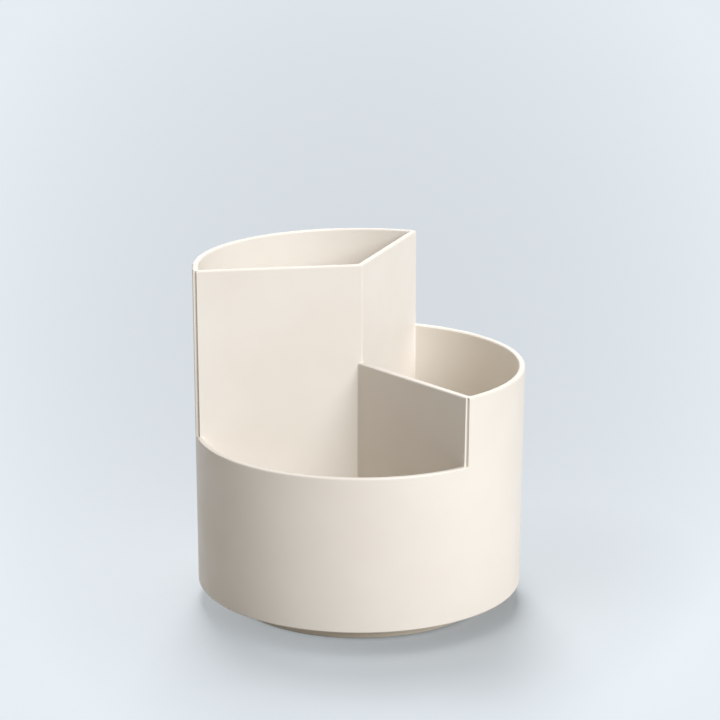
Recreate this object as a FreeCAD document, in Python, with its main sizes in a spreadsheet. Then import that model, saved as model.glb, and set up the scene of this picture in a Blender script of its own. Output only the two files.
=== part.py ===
"""Revolving desk organizer: a round tub with three stepped compartments on a low turntable base.

Millimetres. +Z is up and the origin is on the turning axis, level with the undersides of the feet.
Seen from above, the partitions of the tub lie at 90, 210 and 330 degrees from +X: the tall
compartment is at 150 degrees, the low one at 270 and the medium one at 30.
"""
import FreeCAD, Part
import os
import re
import Sketcher
from FreeCAD import Placement, Rotation, Vector

COMPARTMENTS = 3
BALLS = 12
FEET = 4
RECESS_ARMS = 4

# Directions of the partitions, in degrees from +X.
SECTOR = 360 / COMPARTMENTS
BACK = 90
LEFT = BACK + SECTOR
RIGHT = LEFT + SECTOR

# Driving sizes. Each becomes a cell of the sheet, under its own name.
SIZES = {
    # tub, measured from its own underside
    "tub_radius": 60.4,            # outside, at the tallest rim
    "tall_rim": 118.6,
    "medium_rim": 82.1,
    "low_rim": 57.0,
    "wall": 2.2,
    "floor_thickness": 2.2,
    "partition_thickness": 2.2,    # at the tallest rim
    "draft": 0.4,                  # degrees, on every upright face
    "edge_round": 0.6,             # rims, step corners and inside corners
    "underside_round": 0.5,
    "rebate_width": 1.1,           # rebate in the outside, along the upright edge of each step
    "rebate_depth": 0.75,          # at its upper end
    # pivot at the middle of the tub
    "pivot_boss_radius": 4.6,
    "boss_roof": 2.0,              # plastic above the blind screw holes
    "pilot_spare": 1.2,            # depth of a blind hole beyond its screw
    "pivot_screw_radius": 1.75,
    "pivot_bite": 8.8,             # length of pivot screw inside the tub
    "thread_depth": 0.22,          # how far a screw cuts into its pilot hole
    "pivot_head_radius": 4.0,
    "pivot_head_height": 1.9,
    "head_inset": 0.5,             # pivot screw head above the base's underside
    "recess_depth": 1.1,
    "recess_reach": 2.1,           # from the screw's axis to the end of an arm
    "recess_width": 0.9,
    # bush that the tub turns on
    "bush_radius": 4.5,
    "bush_bore_gap": 0.15,
    "bush_running_gap": 0.08,
    "flange_radius": 8.0,
    "flange_thickness": 1.0,
    "flange_play": 0.2,            # end play between the flange and the base
    # ball race
    "race_radius": 30.0,           # circle that the ball centres run on
    "ball_diameter": 4.0,
    "ball_play": 0.1,
    "race_depth": 0.5,             # depth of each groove
    "race_plate_thickness": 1.4,
    "race_plate_margin": 7.0,      # plate outside the ball circle
    "race_screw_circle": 20.0,
    "race_screw_margin": 4.5,      # plate inside the screw circle
    "race_screw_radius": 1.25,
    "race_screw_bite": 4.5,
    "race_head_radius": 2.4,
    "race_head_height": 1.15,
    "race_boss_radius": 3.2,
    "screw_gap": 0.1,              # clearance round the race screws in the plate
    # ball retainer
    "retainer_width": 10.0,
    "retainer_thickness": 1.6,
    "pocket_gap": 0.15,
    # base
    "base_radius": 48.0,
    "base_plate": 2.0,
    "base_wall": 1.8,
    "base_upper_round": 0.4,
    "base_chamfer": 0.5,           # underneath and inside the rim
    "tub_gap": 0.6,                # between the base's rim and the tub
    "hub_gap": 0.4,
    "hub_radius": 10.0,
    "head_well_gap": 0.4,          # round the flange and screw head
    "rib_thickness": 1.2,
    "rib_height": 1.6,
    "rib_race_gap": 1.0,           # between the ribs and the retainer
    # feet
    "foot_margin": 8.5,            # from the base's outside to the middle of a foot
    "foot_radius": 5.0,
    "foot_thickness": 1.5,
    "foot_proud": 0.8,
    "foot_edge": 0.3,
    "foot_gap": 0.2,
    # beyond the solid, for every cut
    "overrun": 1.0,
}

# Places and sizes that follow from the driving ones, each written with names given before it.
LAYOUT = {
    # heights above the desk, from the feet up
    "base_top": "foot_proud + base_plate",
    "ball_height": "base_top - race_depth + ball_play + ball_diameter / 2",
    "race_plate_seat": "ball_height + ball_diameter / 2 + ball_play - race_depth",
    "tub_seat": "race_plate_seat + race_plate_thickness",
    "head_seat": "foot_proud + head_inset + pivot_head_height",
    "flange_top": "head_seat + flange_thickness",
    # tub profile
    "taper": "tan(draft)",
    "low_radius": "tub_radius - (tall_rim - low_rim) * taper",
    "inside_tall": "tub_radius - wall",
    "inside_low": "low_radius - wall",
    "inside_floor": "tub_radius - wall - (tall_rim - floor_thickness) * taper",
    "inside_low_cut": "inside_low - wall",
    "stock_radius": "tub_radius + overrun",
    "trim_radius": "tub_radius + 3 * overrun",
    "far": "2 * tub_radius",
    "below_tub": "-overrun",
    "above_tub": "tall_rim + overrun",
    "radius_below": "tub_radius - (tall_rim + overrun) * taper",
    "radius_above": "tub_radius + overrun * taper",
    # half the thickness of a partition at each height
    "partition_foot": "floor_thickness / 2",
    "half_at_foot": "partition_thickness / 2 + (tall_rim - partition_foot) * taper",
    "half_at_tall": "partition_thickness / 2",
    "half_at_medium": "partition_thickness / 2 + (tall_rim - medium_rim) * taper",
    "half_above": "partition_thickness / 2 - overrun * taper",
    "partition_back": "half_at_medium * tan(90 - 180 / compartments)",
    "partition_length": "tub_radius + overrun / 2 + partition_back",
    "short_root": "1.5 * wall",
    "corner_round": "min(edge_round; 0.45 * wall; 0.45 * partition_thickness)",
    "underside_corner": "min(underside_round; 0.9 * floor_thickness)",
    # rebates along the steps
    "rebate_at_low": "low_radius - rebate_width",
    "rebate_at_medium": "tub_radius - (tall_rim - medium_rim) * taper - rebate_width",
    "rebate_above": "radius_above - rebate_width",
    "rebate_seat_tall": "half_at_tall - rebate_depth",
    "rebate_seat_medium": "half_at_medium - rebate_depth",
    # screws in the tub
    "pivot_pilot_radius": "pivot_screw_radius - thread_depth",
    "pivot_pilot_depth": "pivot_bite + pilot_spare",
    "pivot_boss_height": "pivot_pilot_depth + boss_roof",
    "race_pilot_radius": "race_screw_radius - thread_depth",
    "race_pilot_depth": "race_screw_bite + pilot_spare",
    "race_boss_height": "race_pilot_depth + boss_roof",
    # race plate
    "race_plate_inner": "race_screw_circle - race_screw_margin",
    "race_plate_outer": "race_radius + race_plate_margin",
    "groove_radius": "ball_diameter / 2 + ball_play",
    "upper_groove_drop": "ball_height - race_plate_seat",
    "race_hole_radius": "race_screw_radius + screw_gap",
    "race_sink_radius": "race_head_radius + screw_gap",
    "race_screw_length": "race_plate_thickness + race_screw_bite",
    # ball retainer, about the plane of the ball centres
    "retainer_inner": "race_radius - retainer_width / 2",
    "retainer_outer": "race_radius + retainer_width / 2",
    "retainer_half": "retainer_thickness / 2",
    "retainer_below": "-retainer_half",
    "pocket_radius": "ball_diameter / 2 + pocket_gap",
    # bush and pivot screw, from the underside of the bush's flange
    "bush_bore": "pivot_screw_radius + bush_bore_gap",
    "bush_height": "tub_seat - head_seat",
    "pivot_shank": "bush_height + pivot_bite",
    "pivot_head_below": "-pivot_head_height",
    "pivot_head_dome": "-pivot_head_height * head_side_share",
    "pivot_head_crown": "pivot_head_radius * head_crown_share",
    "recess_half": "recess_width / 2",
    # base, from its own underside
    "base_inside": "base_radius - base_wall",
    "base_rim": "tub_seat - tub_gap - foot_proud",
    "hub_top": "tub_seat - hub_gap - foot_proud",
    "hub_bore": "bush_radius + bush_running_gap",
    "head_well_radius": "flange_radius + head_well_gap",
    "head_well_top": "flange_top + flange_play - foot_proud",
    "lower_groove_rise": "ball_height - foot_proud",
    "rib_start": "hub_radius - overrun / 2",
    "rib_inner_end": "retainer_inner - rib_race_gap",
    "rib_outer_start": "race_plate_outer",
    "rib_outer_end": "base_inside + base_wall / 2",
    "rib_root": "base_plate / 2",
    "rib_top": "base_plate + rib_height",
    "foot_circle": "base_radius - foot_margin",
    "foot_recess_radius": "foot_radius + foot_gap",
    "foot_recess_depth": "foot_thickness - foot_proud",
    "foot_face_radius": "foot_radius - foot_edge",
}

# Proportions of small features.
SHARES = {
    "head_side_share": 0.45,       # height of the pan head's straight side
    "head_crown_share": 0.62,      # radius of its flat crown
}
COUNTS = {
    "compartments": COMPARTMENTS, "balls": BALLS, "feet": FEET, "recess_arms": RECESS_ARMS}

doc = FreeCAD.newDocument("desk_organizer")


def make_sheet():
    """Spreadsheet with one named cell for each driving size, share and count."""
    sheet = doc.addObject("Spreadsheet::Sheet", "Sizes")
    cells = {**SIZES, **SHARES, **COUNTS}
    for row, (name, size) in enumerate(cells.items(), start=1):
        sheet.set(f"A{row}", name)
        sheet.set(f"B{row}", str(size))
        sheet.setAlias(f"B{row}", name)
    doc.recompute()
    return sheet


def bound(formula):
    """The formula with each name written as a reference to its cell or layout value."""
    def reference(match):
        name = match.group()
        if name in LAYOUT:
            return f"Layout.{name}"
        return f"Sizes.{name}" if name in {**SIZES, **SHARES, **COUNTS} else name
    return re.sub("[a-z_]+", reference, formula)


def make_layout():
    """Variable set with the derived values."""
    layout = doc.addObject("App::VarSet", "Layout")
    for name, formula in LAYOUT.items():
        layout.addProperty("App::PropertyFloat", name)
        layout.setExpression(name, bound(formula))
    doc.recompute()
    return layout


sizes = make_sheet()
layout = make_layout()


def value(name):
    """Number behind a size, a layout value or its negative, or zero."""
    if name == 0:
        return 0.0
    sign = -1.0 if name.startswith("-") else 1.0
    name = name.lstrip("-")
    return sign * float(getattr(layout, name) if name in LAYOUT else sizes.get(name))


def new_body(label, height=None):
    """Body of one sub-part, raised to a named height above the desk."""
    body = doc.addObject("PartDesign::Body", label)
    body.Label = label
    if height:
        body.setExpression("Placement.Base.z", bound(height))
    return body


def new_sketch(body, plane, name, turn=0, along="0", lift="0"):
    """Sketch on one of the body's own planes.

    turn swings it about the plane's upright in degrees, along shifts its origin
    to its own right and lift moves it along its own normal.
    """
    support = [item for item in body.Origin.OriginFeatures if item.Role == plane][0]
    sketch = body.newObject("Sketcher::SketchObject", f"{body.Name}_{name}")
    sketch.AttachmentSupport = [(support, "")]
    sketch.MapMode = "FlatFace"
    sketch.AttachmentOffset = Placement(Vector(), Rotation(Vector(0, 1, 0), turn))
    right = f"({along}) * cos({turn}) + ({lift}) * sin({turn})"
    out = f"({lift}) * cos({turn}) - ({along}) * sin({turn})"
    sketch.setExpression("AttachmentOffset.Base.x", bound(right))
    sketch.setExpression("AttachmentOffset.Base.z", bound(out))
    return sketch


def pin_point(sketch, shape, place, x, y):
    """Hold one end of a line, or the middle of a circle, at a named place."""
    for axis_line, kind, name in ((-2, "DistanceX", x), (-1, "DistanceY", y)):
        if name == 0:
            sketch.addConstraint(Sketcher.Constraint("PointOnObject", shape, place, axis_line))
            continue
        index = sketch.addConstraint(
            Sketcher.Constraint(kind, -1, 1, shape, place, value(name)))
        sketch.setExpression(f"Constraints[{index}]", bound(name))


def draw_outline(sketch, *points):
    """Closed outline of straight lines through named points."""
    corners = [Vector(value(x), value(y), 0) for x, y in points]
    ends = corners[1:] + corners[:1]
    lines = sketch.addGeometry(
        [Part.LineSegment(start, end) for start, end in zip(corners, ends)], False)
    for line, following in zip(lines, lines[1:] + lines[:1]):
        sketch.addConstraint(Sketcher.Constraint("Coincident", line, 2, following, 1))
    for line, (x, y) in zip(lines, points):
        pin_point(sketch, line, 1, x, y)
    return sketch


def draw_circle(sketch, x, y, radius):
    """Circle of a named radius about a named place."""
    middle = Vector(value(x), value(y), 0)
    circle = sketch.addGeometry(Part.Circle(middle, Vector(0, 0, 1), value(radius)), False)
    pin_point(sketch, circle, 3, x, y)
    index = sketch.addConstraint(Sketcher.Constraint("Radius", circle, value(radius)))
    sketch.setExpression(f"Constraints[{index}]", bound(radius))
    return sketch


def turned(body, kind, name, sketch, angle=360):
    """Revolution or Groove of the sketch about its own upright axis."""
    feature = body.newObject(f"PartDesign::{kind}", f"{body.Name}_{name}")
    feature.Profile = sketch
    feature.ReferenceAxis = (sketch, ["V_Axis"])
    if angle == 360:
        feature.Angle = angle
    else:
        feature.setExpression("Angle", bound(angle))
    settle(body, feature, adds=kind == "Revolution")
    return feature


def raised(body, kind, name, sketch, length, reverse=False, midplane=False):
    """Pad or Pocket of a named length."""
    feature = body.newObject(f"PartDesign::{kind}", f"{body.Name}_{name}")
    feature.Profile = sketch
    feature.Type = 0
    feature.setExpression("Length", bound(length))
    feature.Reversed = reverse
    feature.Midplane = midplane
    settle(body, feature, adds=kind == "Pad")
    return feature


def settle(body, feature, adds):
    """Compute the feature and make sure that it changed the body the right way."""
    before = feature.BaseFeature.Shape.Volume if feature.BaseFeature else 0.0
    doc.recompute()
    change = feature.Shape.Volume - before
    if (change <= 0) if adds else (change >= 0):
        raise RuntimeError(f"{feature.Name} changed the volume of {body.Name} by {change:.3f}")


def repeated(body, name, features, count):
    """Polar pattern of features about the body's Z axis."""
    pattern = body.newObject("PartDesign::PolarPattern", f"{body.Name}_{name}")
    pattern.Originals = features
    upright = [item for item in body.Origin.OriginFeatures if item.Role == "Z_Axis"][0]
    pattern.Axis = (upright, [""])
    pattern.Angle = 360
    pattern.setExpression("Occurrences", bound(count))
    body.Tip = pattern
    doc.recompute()
    return pattern


def dressed(body, kind, name, edges, measure, size):
    """Fillet or Chamfer of a named size on edges of the body's tip."""
    feature = body.newObject(f"PartDesign::{kind}", f"{body.Name}_{name}")
    feature.Base = (feature.BaseFeature, edges)
    feature.setExpression(measure, bound(size))
    doc.recompute()
    return feature


def edges_where(shape, test):
    """Names of the edges of the shape that pass the test."""
    return [f"Edge{number}" for number, edge in enumerate(shape.Edges, start=1) if test(edge)]


def meets_at_angle(shape, edge):
    """True where two faces meet at a corner, and False on seams and smooth joins."""
    faces = shape.ancestorsOfType(edge, Part.Face)
    if len(faces) < 2:
        return False
    point = edge.valueAt((edge.FirstParameter + edge.LastParameter) / 2)
    first, second = [face.normalAt(*face.Surface.parameter(point)) for face in faces[:2]]
    smooth_share = 0.02
    return first.cross(second).Length > smooth_share


def ring_edge(radius, height):
    """Test for a circle of a named radius at a named height."""
    near_share = 1e-4

    def test(edge):
        circle = edge.Curve
        return (isinstance(circle, Part.Circle)
                and abs(circle.Radius - value(radius)) < circle.Radius * near_share
                and abs(circle.Center.z - value(height)) < circle.Radius * near_share)
    return test


def organizer_tub():
    """One moulding: stepped wall, floor, three-way partition and screw bosses."""
    body = new_body("organizer_tub", "tub_seat")
    cup = draw_outline(
        new_sketch(body, "YZ_Plane", "cup"),
        (0, 0), ("stock_radius", 0), ("stock_radius", "tall_rim"),
        ("inside_tall", "tall_rim"), ("inside_floor", "floor_thickness"), (0, "floor_thickness"))
    turned(body, "Revolution", "Cup", cup)
    low = draw_outline(
        new_sketch(body, "XZ_Plane", "low_rim", turn=LEFT),
        ("inside_low_cut", "low_rim"), ("trim_radius", "low_rim"),
        ("trim_radius", "above_tub"), ("inside_low_cut", "above_tub"))
    turned(body, "Groove", "LowRim", low, angle="360 / compartments")
    for name, direction, top, half in (
            ("back", BACK, "tall_rim", "half_at_tall"),
            ("left", LEFT, "tall_rim", "half_at_tall"),
            ("right", RIGHT, "medium_rim", "half_at_medium")):
        make_partition(body, name, direction, top, half)
    # The medium rim: everything on the medium side of the two tall partitions.
    for name, direction, side in (("back", BACK, ""), ("left", LEFT, "-")):
        step = draw_outline(
            new_sketch(body, "XZ_Plane", f"medium_rim_{name}", turn=direction - BACK),
            (side + "half_at_medium", "medium_rim"), (side + "far", "medium_rim"),
            (side + "far", "above_tub"), (side + "half_above", "above_tub"))
        raised(body, "Pocket", f"MediumRim_{name}", step, "2 * far", midplane=True)
    outside = draw_outline(
        new_sketch(body, "XZ_Plane", "outside", turn=(BACK + LEFT) / 2),
        ("radius_below", "below_tub"), ("trim_radius", "below_tub"),
        ("trim_radius", "above_tub"), ("radius_above", "above_tub"))
    blank = turned(body, "Groove", "Outside", outside).Shape
    # The short roots where a low rim runs into a taller wall stay sharp.
    corners = edges_where(
        blank, lambda edge: meets_at_angle(blank, edge)
        and edge.BoundBox.ZMax > value("partition_foot") and edge.Length > value("short_root"))
    softened = dressed(body, "Fillet", "Corners", corners, "Radius", "corner_round").Shape
    bottom = edges_where(
        softened, lambda edge: meets_at_angle(softened, edge)
        and edge.BoundBox.ZMax < value("partition_foot"))
    dressed(body, "Fillet", "UndersideEdge", bottom, "Radius", "underside_corner")
    # The outside of the wall is rebated where it ends at each step.
    for name, direction, foot, inner, seat, reverse in (
            ("back", BACK, "medium_rim", "rebate_at_medium", "rebate_seat_tall", True),
            ("left", LEFT, "low_rim", "rebate_at_low", "-rebate_seat_tall", False),
            ("right", RIGHT, "low_rim", "rebate_at_low", "rebate_seat_medium", True)):
        rebate = draw_outline(
            new_sketch(body, "XZ_Plane", f"rebate_{name}", turn=direction, lift=seat),
            (inner, foot), ("trim_radius", foot),
            ("trim_radius", "above_tub"), ("rebate_above", "above_tub"))
        raised(body, "Pocket", f"Rebate_{name}", rebate, "rebate_depth + overrun", reverse=reverse)
    make_bosses(body)
    return body


def make_partition(body, name, direction, top, half):
    """One drafted partition, from just behind the middle out into the wall."""
    section = draw_outline(
        new_sketch(body, "XZ_Plane", f"partition_{name}", turn=direction - BACK,
                   lift="partition_back"),
        ("-half_at_foot", "partition_foot"), ("half_at_foot", "partition_foot"),
        (half, top), ("-" + half, top))
    raised(body, "Pad", f"Partition_{name}", section, "partition_length", reverse=True)


def make_bosses(body):
    """Bosses inside the tub and the blind holes in them for its four screws."""
    pivot = draw_circle(new_sketch(body, "XY_Plane", "pivot_boss"), 0, 0, "pivot_boss_radius")
    raised(body, "Pad", "PivotBoss", pivot, "pivot_boss_height")
    boss = draw_circle(
        new_sketch(body, "XY_Plane", "race_boss"), 0, "race_screw_circle", "race_boss_radius")
    bosses = [raised(body, "Pad", "RaceBoss", boss, "race_boss_height")]
    repeated(body, "RaceBosses", bosses, "compartments")
    hole = draw_circle(new_sketch(body, "XY_Plane", "pivot_pilot"), 0, 0, "pivot_pilot_radius")
    raised(body, "Pocket", "PivotPilot", hole, "pivot_pilot_depth", reverse=True)
    pilot = draw_circle(
        new_sketch(body, "XY_Plane", "race_pilot"), 0, "race_screw_circle", "race_pilot_radius")
    pilots = [raised(body, "Pocket", "RacePilot", pilot, "race_pilot_depth", reverse=True)]
    repeated(body, "RacePilots", pilots, "compartments")


def race_plate():
    """Upper ball race: a flat ring with a ball groove below and countersunk screw holes."""
    body = new_body("race_plate", "race_plate_seat")
    ring = draw_outline(
        new_sketch(body, "XZ_Plane", "ring"),
        ("race_plate_inner", 0), ("race_plate_outer", 0),
        ("race_plate_outer", "race_plate_thickness"), ("race_plate_inner", "race_plate_thickness"))
    turned(body, "Revolution", "Ring", ring)
    groove = draw_circle(
        new_sketch(body, "XZ_Plane", "groove"), "race_radius", "upper_groove_drop", "groove_radius")
    turned(body, "Groove", "BallGroove", groove)
    sink = draw_outline(
        new_sketch(body, "YZ_Plane", "countersink", along="race_screw_circle"),
        (0, 0), ("race_sink_radius", 0), ("race_hole_radius", "race_head_height"),
        ("race_hole_radius", "race_plate_thickness"), (0, "race_plate_thickness"))
    holes = [turned(body, "Groove", "ScrewHole", sink)]
    repeated(body, "ScrewHoles", holes, "compartments")
    return body


def race_screws():
    """The identical countersunk screws of the race plate, as separate solids of one group."""
    body = new_body("race_screws", "race_plate_seat")
    body.AllowCompound = True
    screw = draw_outline(
        new_sketch(body, "YZ_Plane", "screw", along="race_screw_circle"),
        (0, 0), ("race_head_radius", 0), ("race_screw_radius", "race_head_height"),
        ("race_screw_radius", "race_screw_length"), (0, "race_screw_length"))
    screws = [turned(body, "Revolution", "Screw", screw)]
    repeated(body, "Screws", screws, "compartments")
    return body


def ball_retainer():
    """Ring that spaces the balls, with a round pocket for each."""
    body = new_body("ball_retainer", "ball_height")
    ring = draw_outline(
        new_sketch(body, "XZ_Plane", "ring"),
        ("retainer_inner", "retainer_below"), ("retainer_outer", "retainer_below"),
        ("retainer_outer", "retainer_half"), ("retainer_inner", "retainer_half"))
    turned(body, "Revolution", "Ring", ring)
    pocket = draw_circle(new_sketch(body, "XY_Plane", "pocket"), "race_radius", 0, "pocket_radius")
    pockets = [raised(body, "Pocket", "Pocket", pocket, "2 * ball_diameter", midplane=True)]
    repeated(body, "Pockets", pockets, "balls")
    return body


def bearing_balls():
    """The balls, spaced evenly round the race."""
    balls = []
    for number in range(BALLS):
        ball = doc.addObject("Part::Sphere", f"ball_{number + 1:02d}")
        ball.Label = ball.Name
        ball.setExpression("Radius", bound("ball_diameter / 2"))
        around = f"({number} * 360 / balls)"
        ball.setExpression("Placement.Base.x", bound(f"race_radius * cos{around}"))
        ball.setExpression("Placement.Base.y", bound(f"race_radius * sin{around}"))
        ball.setExpression("Placement.Base.z", bound("ball_height"))
        balls.append(ball)
    return balls


def pivot_bush():
    """Flanged bush: clamped to the tub by the pivot screw, it turns in the base's hub."""
    body = new_body("pivot_bush", "head_seat")
    profile = draw_outline(
        new_sketch(body, "XZ_Plane", "profile"),
        ("bush_bore", 0), ("flange_radius", 0), ("flange_radius", "flange_thickness"),
        ("bush_radius", "flange_thickness"), ("bush_radius", "bush_height"),
        ("bush_bore", "bush_height"))
    turned(body, "Revolution", "Profile", profile)
    return body


def pivot_screw():
    """Pan-head screw through the bush into the tub, with a cross recess."""
    body = new_body("pivot_screw", "head_seat")
    profile = draw_outline(
        new_sketch(body, "XZ_Plane", "profile"),
        (0, "pivot_head_below"), ("pivot_head_crown", "pivot_head_below"),
        ("pivot_head_radius", "pivot_head_dome"), ("pivot_head_radius", 0),
        ("pivot_screw_radius", 0), ("pivot_screw_radius", "pivot_shank"), (0, "pivot_shank"))
    turned(body, "Revolution", "Profile", profile)
    slot = draw_outline(
        new_sketch(body, "XY_Plane", "slot", lift="pivot_head_below"),
        (0, "-recess_half"), ("recess_reach", "-recess_half"),
        ("recess_reach", "recess_half"), (0, "recess_half"))
    slots = [raised(body, "Pocket", "Slot", slot, "recess_depth", reverse=True)]
    repeated(body, "CrossRecess", slots, "recess_arms")
    return body


def turntable_base():
    """Round base: plate, rim, ribs, lower ball groove and the hub that the bush runs in."""
    body = new_body("turntable_base", "foot_proud")
    profile = draw_outline(
        new_sketch(body, "XZ_Plane", "profile"),
        ("hub_bore", "head_well_top"), ("head_well_radius", "head_well_top"),
        ("head_well_radius", 0), ("base_radius", 0), ("base_radius", "base_rim"),
        ("base_inside", "base_rim"), ("base_inside", "base_plate"), ("hub_radius", "base_plate"),
        ("hub_radius", "hub_top"), ("hub_bore", "hub_top"))
    turned(body, "Revolution", "Profile", profile)
    groove = draw_circle(
        new_sketch(body, "XZ_Plane", "groove"), "race_radius", "lower_groove_rise", "groove_radius")
    turned(body, "Groove", "BallGroove", groove)
    for name, start, end, count in (
            ("Inner", "rib_start", "rib_inner_end", "2 * compartments"),
            ("Outer", "rib_outer_start", "rib_outer_end", "4 * compartments")):
        rib = draw_outline(
            new_sketch(body, "XZ_Plane", f"{name}_rib"),
            (start, "rib_root"), (end, "rib_root"), (end, "rib_top"), (start, "rib_top"))
        ribs = [raised(body, "Pad", f"{name}Rib", rib, "rib_thickness", midplane=True)]
        repeated(body, f"{name}Ribs", ribs, count)
    recess = draw_circle(
        new_sketch(body, "XY_Plane", "foot_recess"), "foot_circle", 0, "foot_recess_radius")
    recesses = [raised(body, "Pocket", "FootRecess", recess, "foot_recess_depth", reverse=True)]
    seats = repeated(body, "FootRecesses", recesses, "feet")
    rim = edges_where(seats.Shape, ring_edge("base_radius", "base_rim"))
    topped = dressed(body, "Fillet", "UpperEdge", rim, "Radius", "base_upper_round")
    hidden = [*edges_where(topped.Shape, ring_edge("base_radius", 0)),
              *edges_where(topped.Shape, ring_edge("base_inside", "base_rim"))]
    dressed(body, "Chamfer", "HiddenEdges", hidden, "Size", "base_chamfer")
    return body


def foot_pads():
    """Soft round pads let into the underside of the base."""
    pads = []
    for number in range(FEET):
        body = new_body(f"foot_pad_{number + 1}")
        around = f"({number} * 360 / feet)"
        body.setExpression("Placement.Base.x", bound(f"foot_circle * cos{around}"))
        body.setExpression("Placement.Base.y", bound(f"foot_circle * sin{around}"))
        profile = draw_outline(
            new_sketch(body, "XZ_Plane", "profile"),
            (0, 0), ("foot_face_radius", 0), ("foot_radius", "foot_edge"),
            ("foot_radius", "foot_thickness"), (0, "foot_thickness"))
        turned(body, "Revolution", "Profile", profile)
        pads.append(body)
    return pads


def check_document():
    """Stop if any object failed or any sub-part's shape is missing or faulty."""
    for item in doc.Objects:
        if "Invalid" in item.State or "Error" in item.State:
            raise RuntimeError(f"{item.Name} is {item.State}")
    for item in nodes:
        if item.Shape.isNull() or not item.Shape.isValid():
            raise RuntimeError(f"{item.Label} has no valid shape")


nodes = [
    organizer_tub(), race_plate(), race_screws(), ball_retainer(), *bearing_balls(),
    pivot_bush(), pivot_screw(), turntable_base(), *foot_pads(),
]
doc.recompute()
check_document()
os.makedirs("parts", exist_ok=True)
for node in nodes:
    node.Shape.exportStep(f"parts/{node.Label}.step")
    box = node.Shape.optimalBoundingBox(False, False)
    print(f"{node.Label}: {len(node.Shape.Solids)} solids, {node.Shape.Volume:.1f} mm3, "
          f"z {box.ZMin:.2f} to {box.ZMax:.2f}")
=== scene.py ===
"""Looks of the revolving desk organizer: finishes, light and the camera of the reference view.

Metres, in the same frame as the solids: +Z up, origin on the turning axis at desk level.
"""
from math import cos, pi, radians, sin, tan

import bpy
from mathutils import Matrix, Vector

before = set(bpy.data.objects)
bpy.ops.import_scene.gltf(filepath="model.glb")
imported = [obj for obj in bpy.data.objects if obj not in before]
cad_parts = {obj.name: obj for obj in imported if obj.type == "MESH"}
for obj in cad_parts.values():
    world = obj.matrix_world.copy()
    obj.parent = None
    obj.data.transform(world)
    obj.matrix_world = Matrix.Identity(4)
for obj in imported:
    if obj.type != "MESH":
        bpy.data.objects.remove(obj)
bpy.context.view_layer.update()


def srgb(red, green, blue):
    """Linear colour for a colour given as 0 to 255 on the screen."""
    def linear(level):
        share = level / 255
        return share / 12.92 if share <= 0.04045 else ((share + 0.055) / 1.055) ** 2.4
    return (linear(red), linear(green), linear(blue), 1.0)


# Reference view, solved from the tub's edges in the photograph.
CAMERA_AZIMUTH = 20.0          # degrees round from -Y
CAMERA_ELEVATION = 15.517
CAMERA_DISTANCE = 0.950
CAMERA_ROLL = 0.154
CAMERA_TARGET = (0.00012, 0.0, 0.09026)
SENSOR_WIDTH = 36.0            # millimetres, as the camera's settings have it
LENS = 130.6
VIEW_END = 100.0

BLACK = (0.0, 0.0, 0.0, 1.0)
WARM_WHITE = (1.0, 0.99, 0.98)
COOL_WHITE = (0.97, 1.0, 1.05)
CREAM_WHITE = (1.0, 0.97, 0.90)
SKY_COLOUR = (1.0, 0.96, 0.93, 1.0)
SKY_STRENGTH = 0.265

FLOOR_HALF = 6.0
# Painted shade: the floor's middle colour is darker than its edge's.
FLOOR_SHADED_MIDDLE = srgb(214, 222, 229)
FLOOR_EDGE = srgb(231, 240, 247)
FLOOR_BOUNCE = srgb(232, 229, 224)
FLOOR_GLOW = 0.40
FLOOR_GLOSS = (0.85, 0.95)

# The floor's colour is painted shade, darker round a middle near the organizer; it pales with the
# squares of two slopes, aside and down from the camera's line of sight.
NEAREST = 0.6                  # shortest way ahead that counts, so that no slope runs away
PALING_ASIDE = 36.0
PALING_DOWN = 24.0
PALING_CLOUD = 0.06            # share of uneven paling
PALING_SPAN = (0.10, 1.03)     # from the middle's colour to the edge's

# Painted shadow on the floor: its glow fades by its distance from the axis, to none underneath,
# and near a middle beside the bright side.
GLOW_SPAN = (0.020, 0.046)     # from none to the whole
DIM_MIDDLE = (0.058, -0.012, 0.0)
DIM_STRETCH = (1.0, 0.55, 1.0)
DIM_SPAN = (0.0, 0.066)
DIM_SHARES = (0.62, 1.0)       # of the glow, at the middle and away from it

MICRON = 0.000001

# Noise runs from 0 to 1, and most of it lies in the common span.
COMMON_SPAN = (0.3, 0.7)
CLOUD_SPAN = (0.35, 0.65)
MARK_SPAN = (0.60, 0.78)       # its peaks alone
SMEAR_SPAN = (0.4, 0.7)
DUST_SPAN = (0.45, 0.75)

PLASTIC_SHINE = 0.36
RUBBER_SHINE = 0.3
FLOOR_SHINE = 0.1
MARK_STRETCH = (6.0, 6.0, 0.7)
MARK_ROUGHNESS = 0.06


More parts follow.
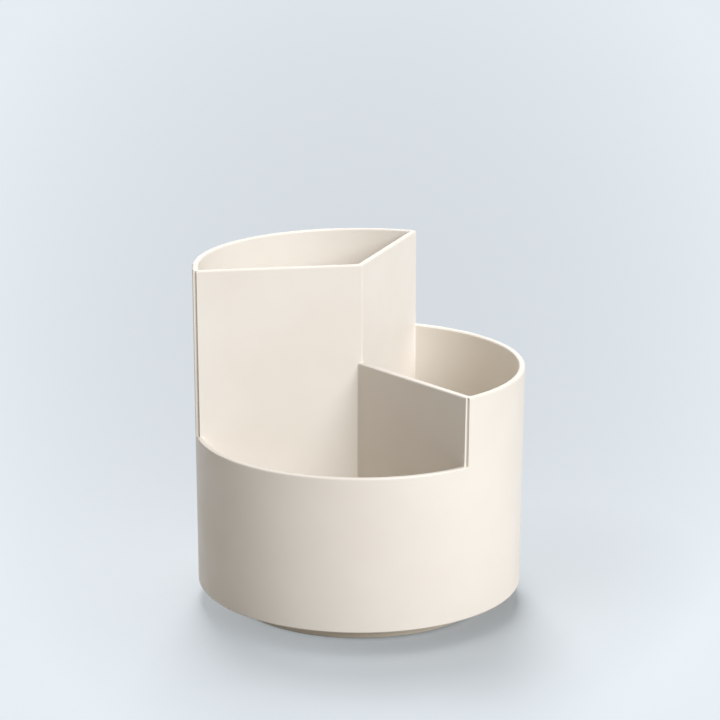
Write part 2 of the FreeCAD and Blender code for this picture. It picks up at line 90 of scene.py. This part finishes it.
class Shader:
    """Builds one node material step by step."""

    def __init__(self, name):
        self.material = bpy.data.materials.new(name)
        self.material.use_nodes = True
        self.tree = self.material.node_tree
        self.tree.nodes.clear()
        self.surface = self.add("ShaderNodeBsdfPrincipled")
        self.output = self.add("ShaderNodeOutputMaterial")
        self.link(self.surface.outputs["BSDF"], self.output.inputs["Surface"])
        self.place = self.add("ShaderNodeTexCoord").outputs["Object"]

    def add(self, kind, **settings):
        """New node with these settings."""
        node = self.tree.nodes.new(kind)
        for key, setting in settings.items():
            setattr(node, key, setting)
        return node

    def link(self, source, target):
        """Join an output to an input."""
        self.tree.links.new(source, target)

    def stretched(self, scale, turn=(0.0, 0.0, 0.0)):
        """Object coordinates, stretched along each axis and turned."""
        mapping = self.add("ShaderNodeMapping")
        mapping.inputs["Scale"].default_value = scale
        mapping.inputs["Rotation"].default_value = turn
        self.link(self.place, mapping.inputs["Vector"])
        return mapping.outputs["Vector"]

    def noise(self, per_metre, detail=3.0, rough=0.5, place=None, warp=0.0):
        """Noise with features of about one over per_metre."""
        node = self.add("ShaderNodeTexNoise")
        node.inputs["Scale"].default_value = per_metre
        node.inputs["Detail"].default_value = detail
        node.inputs["Roughness"].default_value = rough
        node.inputs["Distortion"].default_value = warp
        self.link(place or self.place, node.inputs["Vector"])
        return node.outputs["Fac"]

    def spread(self, source, span, target=(0.0, 1.0)):
        """source, taken from this span to the target one and held at its ends beyond them."""
        node = self.add("ShaderNodeMapRange", clamp=True)
        for socket, setting in zip(("From Min", "From Max", "To Min", "To Max"), (*span, *target)):
            node.inputs[socket].default_value = setting
        self.link(source, node.inputs["Value"])
        return node.outputs["Result"]

    def maths(self, operation, first, second):
        """Sum, product or the like of two values, each a number or an output."""
        node = self.add("ShaderNodeMath", operation=operation)
        for socket, value in zip(node.inputs, (first, second)):
            if isinstance(value, (int, float)):
                socket.default_value = value
            else:
                self.link(value, socket)
        return node.outputs["Value"]

    def square(self, source, weight):
        """weight times the square of source."""
        return self.maths("MULTIPLY", self.maths("MULTIPLY", source, source), weight)

    def mix(self, share, first, second):
        """Colour between first and second."""
        node = self.add("ShaderNodeMix", data_type="RGBA")
        ends = [item for item in node.inputs if item.type == "RGBA"]
        factor = next(item for item in node.inputs if item.type == "VALUE")
        self.link(share, factor)
        for socket, value in zip(ends, (first, second)):
            if isinstance(value, tuple):
                socket.default_value = value
            else:
                self.link(value, socket)
        return next(item for item in node.outputs if item.type == "RGBA")

    def bump(self, source, distance, strength, under=None):
        """Normal with source as relief, laid over another one."""
        node = self.add("ShaderNodeBump")
        node.inputs["Strength"].default_value = strength
        node.inputs["Distance"].default_value = distance
        self.link(source, node.inputs["Height"])
        if under:
            self.link(under, node.inputs["Normal"])
        return node.outputs["Normal"]

    def finish(self, colour, roughness, normal=None, **fixed):
        """Join the worked-out channels and set the fixed ones."""
        self.link(colour, self.surface.inputs["Base Color"])
        self.link(roughness, self.surface.inputs["Roughness"])
        if normal:
            self.link(normal, self.surface.inputs["Normal"])
        for name, setting in fixed.items():
            self.surface.inputs[name.replace("_", " ")].default_value = setting
        return self.material


def moulded_plastic(name, light, shade, gloss=(0.36, 0.50)):
    """Satin moulded plastic: faint cloudiness, fine eroded grain and light handling marks."""
    shader = Shader(name)
    cloud = shader.noise(per_metre=22, detail=4, rough=0.55)
    colour = shader.mix(shader.spread(cloud, CLOUD_SPAN), light, shade)
    # Handling marks are long faint streaks, mostly upright.
    streak = shader.noise(per_metre=60, detail=6, rough=0.7, warp=0.4,
                          place=shader.stretched(MARK_STRETCH))
    marks = shader.spread(streak, MARK_SPAN)
    satin = shader.spread(shader.noise(per_metre=140), COMMON_SPAN, gloss)
    roughness = shader.maths("ADD", satin, shader.maths("MULTIPLY", marks, MARK_ROUGHNESS))
    waves = shader.noise(per_metre=38, detail=1, rough=0.4)
    grain = shader.noise(per_metre=2600, detail=2, rough=0.6)
    wavy = shader.bump(waves, distance=120 * MICRON, strength=0.35)
    normal = shader.bump(grain, distance=6 * MICRON, strength=0.8, under=wavy)
    return shader.finish(colour, roughness, normal, Specular_IOR_Level=PLASTIC_SHINE)


def turned_steel(name, colour, dark, gloss=(0.18, 0.34)):
    """Zinc-plated steel with fine turning rings about the axis and a little haze."""
    shader = Shader(name)
    rings = shader.add("ShaderNodeTexWave", wave_type="RINGS", rings_direction="Z")
    rings.inputs["Scale"].default_value = 900.0
    rings.inputs["Distortion"].default_value = 0.6
    shader.link(shader.place, rings.inputs["Vector"])
    haze = shader.noise(per_metre=160, detail=5, rough=0.6)
    tone = shader.mix(shader.spread(haze, COMMON_SPAN), colour, dark)
    roughness = shader.spread(haze, COMMON_SPAN, gloss)
    normal = shader.bump(rings.outputs["Fac"], distance=4 * MICRON, strength=0.6)
    return shader.finish(tone, roughness, normal, Metallic=1.0)


def polished_steel(name, light, dark, gloss=(0.06, 0.20)):
    """Bearing steel with a trace of grease."""
    shader = Shader(name)
    smear = shader.noise(per_metre=520, detail=4, rough=0.6)
    tone = shader.mix(shader.spread(smear, SMEAR_SPAN), light, dark)
    roughness = shader.spread(smear, SMEAR_SPAN, gloss)
    normal = shader.bump(smear, distance=3 * MICRON, strength=0.3)
    return shader.finish(tone, roughness, normal, Metallic=1.0)


def soft_rubber(name, dark, dusty, gloss=(0.72, 0.90)):
    """Dark rubber pad: fine grain with dust rubbed off its face."""
    shader = Shader(name)
    dust = shader.noise(per_metre=420, detail=6, rough=0.65)
    tone = shader.mix(shader.spread(dust, DUST_SPAN), dark, dusty)
    roughness = shader.spread(dust, COMMON_SPAN, gloss)
    grain = shader.noise(per_metre=3200, detail=2)
    normal = shader.bump(grain, distance=20 * MICRON, strength=0.7)
    return shader.finish(tone, roughness, normal, Specular_IOR_Level=RUBBER_SHINE)


def dress(material, *nodes):
    """Give these nodes this material alone."""
    for name in nodes:
        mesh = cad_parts[name].data
        mesh.materials.clear()
        mesh.materials.append(material)


def numbered(start):
    """Names of the nodes that are this start and a number."""
    return [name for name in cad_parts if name.startswith(start) and name[-1].isdigit()]


def dress_nodes():
    """A finish for every node of the frame, each between two colours."""
    tub = moulded_plastic("tub_cream", srgb(241, 234, 223), srgb(237, 229, 217))
    base = moulded_plastic("base_cream", srgb(238, 229, 214), srgb(232, 222, 206),
                           gloss=(0.40, 0.55))
    nylon = moulded_plastic("retainer_nylon", srgb(232, 231, 224), srgb(222, 221, 212),
                            gloss=(0.30, 0.42))
    acetal = moulded_plastic("bush_acetal", srgb(228, 228, 222), srgb(218, 218, 211),
                             gloss=(0.16, 0.26))
    race = turned_steel("race_zinc", srgb(176, 178, 182), srgb(150, 152, 156))
    screws = turned_steel("screw_zinc", srgb(184, 184, 186), srgb(160, 160, 160),
                          gloss=(0.14, 0.26))
    balls = polished_steel("ball_steel", srgb(222, 224, 226), srgb(196, 196, 194))
    pads = soft_rubber("pad_rubber", srgb(34, 34, 35), srgb(72, 70, 68))
    dress(tub, "organizer_tub")
    dress(base, "turntable_base")
    dress(nylon, "ball_retainer")
    dress(acetal, "pivot_bush")
    dress(race, "race_plate")
    dress(screws, "race_screws", "pivot_screw")
    dress(balls, *numbered("ball_"))
    dress(pads, *numbered("foot_pad_"))


def floor_tone(shader, facing):
    """Colour of the floor with painted shade, paling away from a middle that lies a little behind
    the organizer.
    """
    place = shader.add("ShaderNodeSeparateXYZ")
    shader.link(shader.stretched((1.0, 1.0, 1.0), turn=facing), place.inputs[0])
    rise = radians(CAMERA_ELEVATION)
    ahead = shader.maths("ADD", place.outputs["Y"], CAMERA_DISTANCE * cos(rise))
    away = shader.maths("MAXIMUM", ahead, NEAREST)
    height = CAMERA_TARGET[2] + CAMERA_DISTANCE * sin(rise)
    aside = shader.maths("DIVIDE", place.outputs["X"], away)
    down = shader.maths("SUBTRACT", shader.maths("DIVIDE", height, away), tan(rise))
    paling = shader.maths("ADD", shader.square(aside, PALING_ASIDE),
                          shader.square(down, PALING_DOWN))
    cloud = shader.maths("MULTIPLY", shader.noise(per_metre=4, detail=2), PALING_CLOUD)
    share = shader.spread(shader.maths("ADD", paling, cloud), PALING_SPAN)
    return shader.mix(share, FLOOR_SHADED_MIDDLE, FLOOR_EDGE)


def floor_glow(shader, facing, tone):
    """Glow of the floor, with painted shadow: less glow beside the organizer's bright side, and
    none underneath.
    """
    apart = shader.add("ShaderNodeVectorMath", operation="LENGTH")
    shader.link(shader.place, apart.inputs[0])
    beyond = shader.spread(apart.outputs["Value"], GLOW_SPAN)
    beside = shader.add("ShaderNodeVectorMath", operation="DISTANCE")
    shader.link(shader.stretched(DIM_STRETCH, turn=facing), beside.inputs[0])
    beside.inputs[1].default_value = DIM_MIDDLE
    less = shader.spread(beside.outputs["Value"], DIM_SPAN, DIM_SHARES)
    # Painted shadow: the glow is cut under the organizer and dimmed beside its bright side.
    return shader.mix(shader.maths("MULTIPLY", beyond, less), BLACK, tone)


def dim_bounce(shader):
    """Show the surface to the camera and in reflections; other light bounces off a plain tone."""
    bounce = shader.add("ShaderNodeBsdfDiffuse")
    bounce.inputs["Color"].default_value = FLOOR_BOUNCE
    path = shader.add("ShaderNodeLightPath")
    seen = shader.maths("MAXIMUM", path.outputs["Is Camera Ray"], path.outputs["Is Glossy Ray"])
    seen = shader.maths("MAXIMUM", seen, path.outputs["Is Transmission Ray"])
    choice = shader.add("ShaderNodeMixShader")
    shader.link(seen, choice.inputs["Fac"])
    shader.link(bounce.outputs["BSDF"], choice.inputs[1])
    shader.link(shader.surface.outputs["BSDF"], choice.inputs[2])
    shader.link(choice.outputs["Shader"], shader.output.inputs["Surface"])


def add_floor():
    """Pale seamless surface under and behind the organizer.

    The camera and glossy rays see the pale surface, part of it self-lit so that the shadow stays
    soft. Light that the surface throws back onto the organizer is a dimmer, neutral one.
    """
    mesh = bpy.data.meshes.new("floor")
    corners = [(-FLOOR_HALF, -FLOOR_HALF, 0), (FLOOR_HALF, -FLOOR_HALF, 0),
               (FLOOR_HALF, FLOOR_HALF, 0), (-FLOOR_HALF, FLOOR_HALF, 0)]
    mesh.from_pydata(corners, [], [(0, 1, 2, 3)])
    floor = bpy.data.objects.new("floor", mesh)
    bpy.context.collection.objects.link(floor)
    shader = Shader("floor_pale")
    facing = (0.0, 0.0, -radians(CAMERA_AZIMUTH))
    tone = floor_tone(shader, facing)
    roughness = shader.spread(shader.noise(per_metre=30), COMMON_SPAN, FLOOR_GLOSS)
    shader.finish(tone, roughness, Specular_IOR_Level=FLOOR_SHINE, Emission_Strength=FLOOR_GLOW)
    shader.link(floor_glow(shader, facing, tone), shader.surface.inputs["Emission Color"])
    dim_bounce(shader)
    mesh.materials.append(shader.material)
    return floor


def add_sun(name, azimuth, elevation, strength, spread, colour=WARM_WHITE):
    """Broad distant lamp. azimuth is the side that it shines from, counted from the camera's."""
    lamp = bpy.data.lights.new(name, "SUN")
    lamp.energy = strength
    lamp.angle = radians(spread)
    lamp.color = colour
    holder = bpy.data.objects.new(name, lamp)
    bpy.context.collection.objects.link(holder)
    around = radians(azimuth + CAMERA_AZIMUTH)
    rise = radians(elevation)
    towards = Vector((sin(around) * cos(rise), -cos(around) * cos(rise), sin(rise)))
    holder.rotation_euler = towards.to_track_quat("Z", "Y").to_euler()
    return holder


def lit_by(lamps, name, objects):
    """Let these lamps light these objects alone."""
    lit = bpy.data.collections.new(name)
    for item in objects:
        lit.objects.link(item)
    for lamp in lamps:
        lamp.light_linking.receiver_collection = lit


def add_light(floor):
    """Broad key from the right, overhead light, fill for the far side and an even sky.

    Two more lamps behind shade the floor alone, with the soft shadow in front of the organizer,
    and a weak low one reaches the base alone, under the tub.
    """
    key = add_sun("key", azimuth=42, elevation=34, strength=2.84, spread=36, colour=COOL_WHITE)
    top = add_sun("overhead", azimuth=180, elevation=64, strength=0.80, spread=28)
    back = add_sun("back_fill", azimuth=190, elevation=20, strength=1.15, spread=50)
    lit_by((key, top, back), "lit_organizer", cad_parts.values())
    high = add_sun("shade_high", azimuth=184, elevation=64, strength=0.62, spread=20)
    low = add_sun("shade_low", azimuth=184, elevation=50, strength=0.62, spread=20)
    lit_by((high, low), "lit_floor", (floor,))
    foot = add_sun("base_fill", azimuth=28, elevation=7, strength=0.34, spread=24,
                   colour=CREAM_WHITE)
    lit_by((foot,), "lit_base", (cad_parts["turntable_base"],))
    world = bpy.data.worlds.new("sky")
    bpy.context.scene.world = world
    world.use_nodes = True
    background = world.node_tree.nodes["Background"]
    background.inputs["Color"].default_value = SKY_COLOUR
    background.inputs["Strength"].default_value = SKY_STRENGTH


def add_camera():
    """Camera of the reference view."""
    data = bpy.data.cameras.new("reference")
    data.sensor_width = SENSOR_WIDTH
    data.lens = LENS
    data.clip_end = VIEW_END
    camera = bpy.data.objects.new("reference", data)
    bpy.context.collection.objects.link(camera)
    turn = Matrix.Rotation(radians(CAMERA_AZIMUTH), 4, "Z")
    rise = radians(CAMERA_ELEVATION)
    back = Vector((0.0, -CAMERA_DISTANCE * cos(rise), CAMERA_DISTANCE * sin(rise)))
    place = Matrix.Translation(Vector(CAMERA_TARGET) + back)
    pitch = Matrix.Rotation(pi / 2 - rise, 4, "X")
    roll = Matrix.Rotation(radians(CAMERA_ROLL), 4, "Z")
    camera.matrix_world = turn @ place @ pitch @ roll
    bpy.context.scene.camera = camera


dress_nodes()
add_light(add_floor())
add_camera()
bpy.context.scene.view_settings.view_transform = "Standard"
